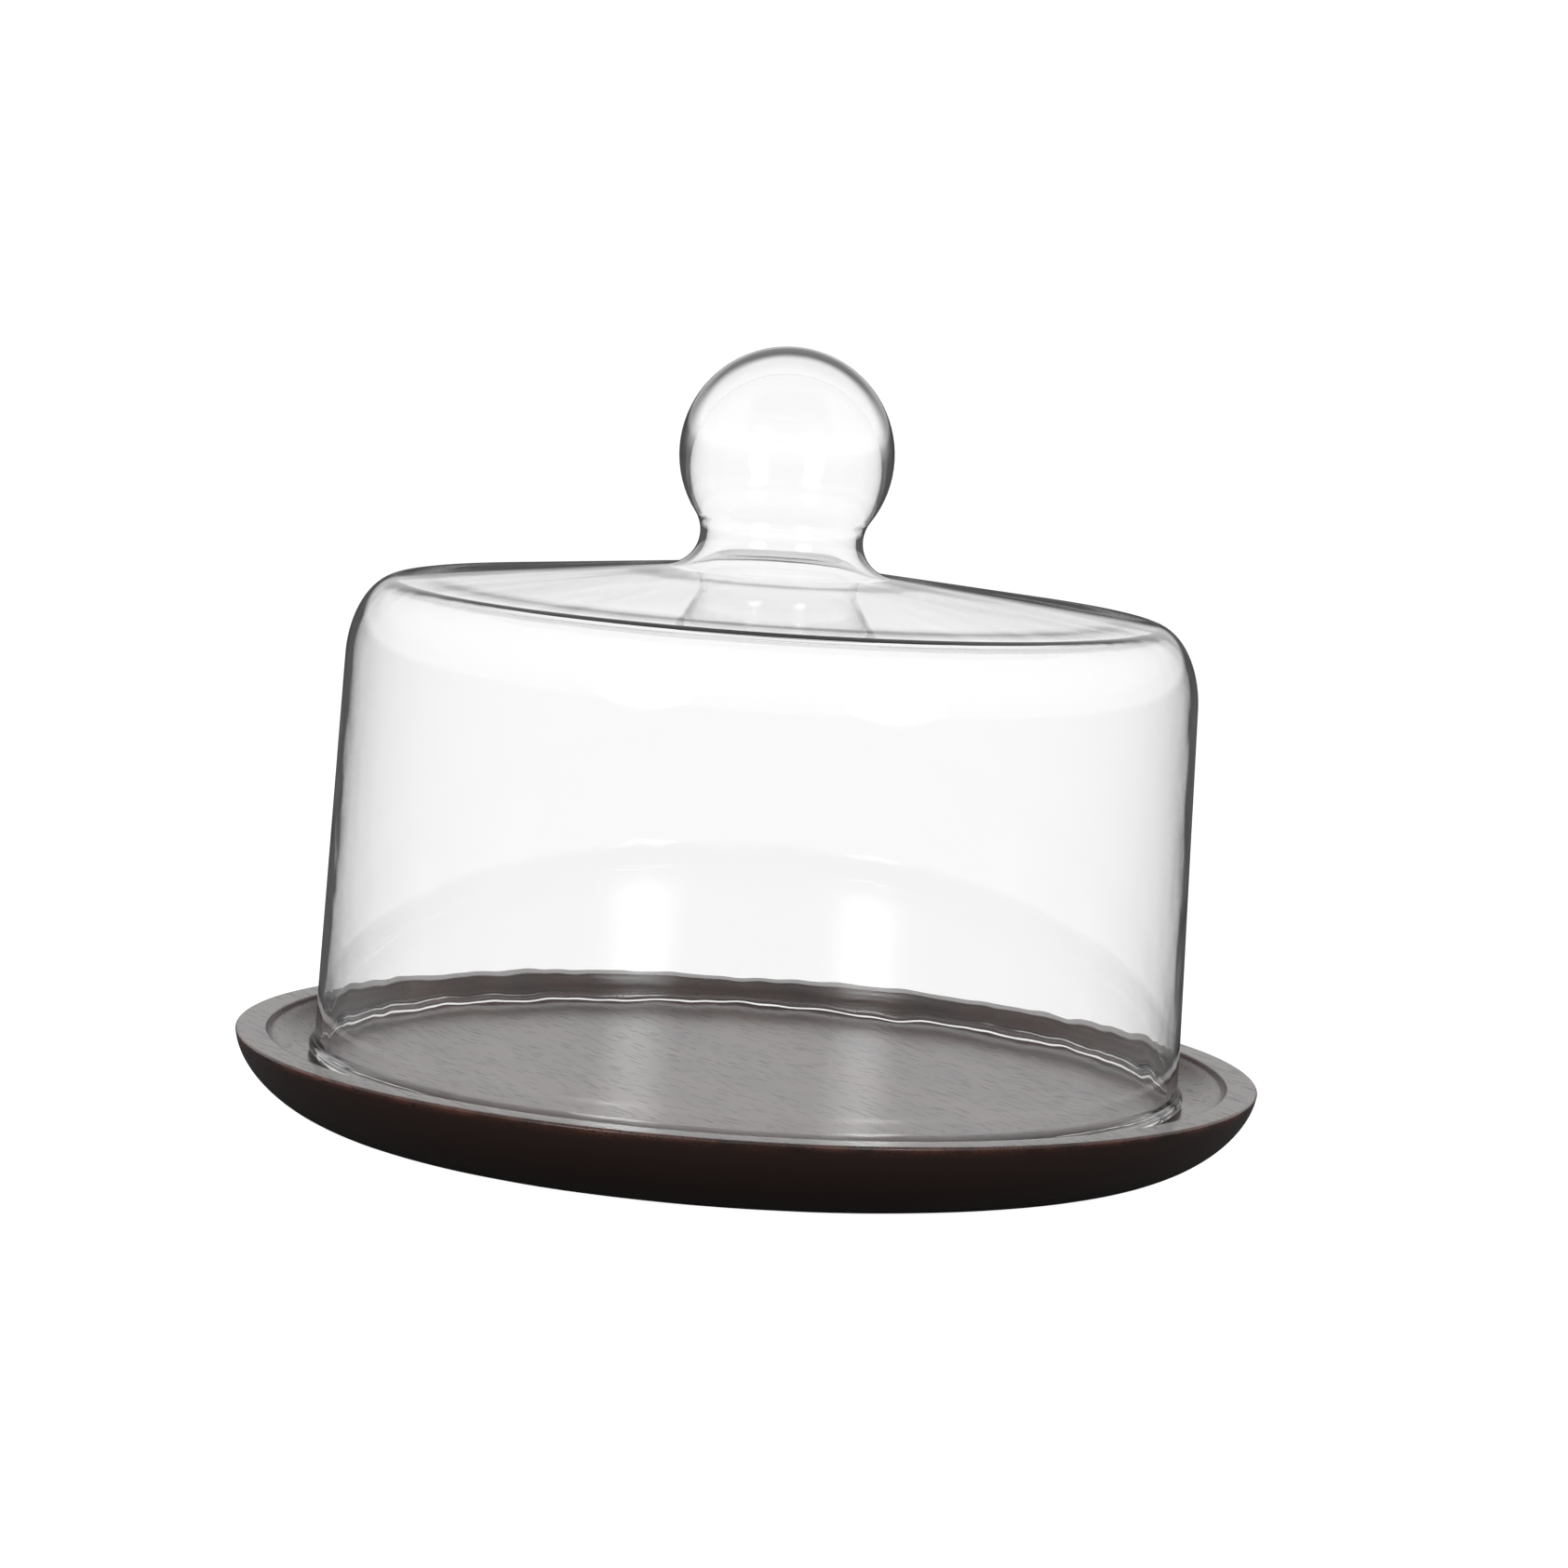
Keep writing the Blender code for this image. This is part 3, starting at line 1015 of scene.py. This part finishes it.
        azimuth, elevation = math.radians(turn), math.radians(self.box_elevation)
        towards = Vector((math.sin(azimuth) * math.cos(elevation),
                          -math.cos(azimuth) * math.cos(elevation), math.sin(elevation)))
        box.matrix_world = (Matrix.Translation(towards * self.box_distance)
                            @ (-towards).to_track_quat("Y", "Z").to_matrix().to_4x4())
        box.visible_camera = False

    def build(self) -> None:
        """Set up the table, the lights and how the picture is shown."""
        self.world()
        self.sheet("table_top", Seen.BY_LENS, self.table_colour, self.table_glow, 0.0,
                   self.table_radius)
        # painted shade: the dark copy of the table that only the pieces see
        self.sheet("table_painted_dark_copy", Seen.BY_PIECES, self.dark_copy_colour, 0.0, -self.dark_copy_drop,
                   self.dark_copy_radius)
        self.soft_box("soft_box_left", -self.box_azimuth)
        self.soft_box("soft_box_right", self.box_azimuth)
        bpy.context.scene.view_settings.view_transform = "Standard"


@dataclass
class Viewpoint:
    """The camera: a long lens from just above the tray, held a little tilted."""

    distance: float = 1241.55 * MM
    elevation: float = 10.079
    upward: float = 3.576
    sideways: float = -0.195
    roll: float = 3.839
    lens: float = 128.19
    sensor: float = 36.0

    def build(self) -> None:
        """Place the camera and make it the scene's own."""
        data = bpy.data.cameras.new("camera")
        data.lens = self.lens
        data.sensor_width = self.sensor
        camera = bpy.data.objects.new("camera", data)
        bpy.context.scene.collection.objects.link(camera)
        rise = math.radians(self.elevation)
        place = Vector((0.0, -math.cos(rise), math.sin(rise))) * self.distance
        tilt = math.radians(90 - self.elevation + self.upward)
        camera.matrix_world = (Matrix.Translation(place) @ Matrix.Rotation(tilt, 4, "X")
                               @ Matrix.Rotation(math.radians(self.sideways), 4, "Y")
                               @ Matrix.Rotation(math.radians(self.roll), 4, "Z"))
        bpy.context.scene.camera = camera


def report(piece: bpy.types.Object) -> None:
    """Log a piece's name, its triangles and its size."""
    size = " x ".join(f"{length / MM:.1f}" for length in piece.dimensions)
    triangles = sum(len(face.vertices) - 2 for face in piece.data.polygons)
    log.info("%s: %d triangles, %s mm", piece.name, triangles, size)


def main() -> None:
    """Build the studio, the camera and both pieces, and report them."""
    logging.basicConfig(level=logging.INFO, format="%(message)s")
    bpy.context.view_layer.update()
    Viewpoint().build()
    Studio().build()
    lathe = Lathe()

    tray_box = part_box("wood_tray")
    tray = WoodTray(radius=tray_box[1].x, height=tray_box[1].z)
    tray_piece = tray.build(lathe)
    tray.dress(tray_piece)
    report(tray_piece)

    dome_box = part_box("glass_dome")
    dome = GlassDome(lowest=dome_box[0].z, highest=dome_box[1].z, lip_radius=dome_box[1].x)
    dome_piece = dome.build(lathe)
    dome.dress(dome_piece)
    report(dome_piece)


if __name__ == "__main__":
    main()
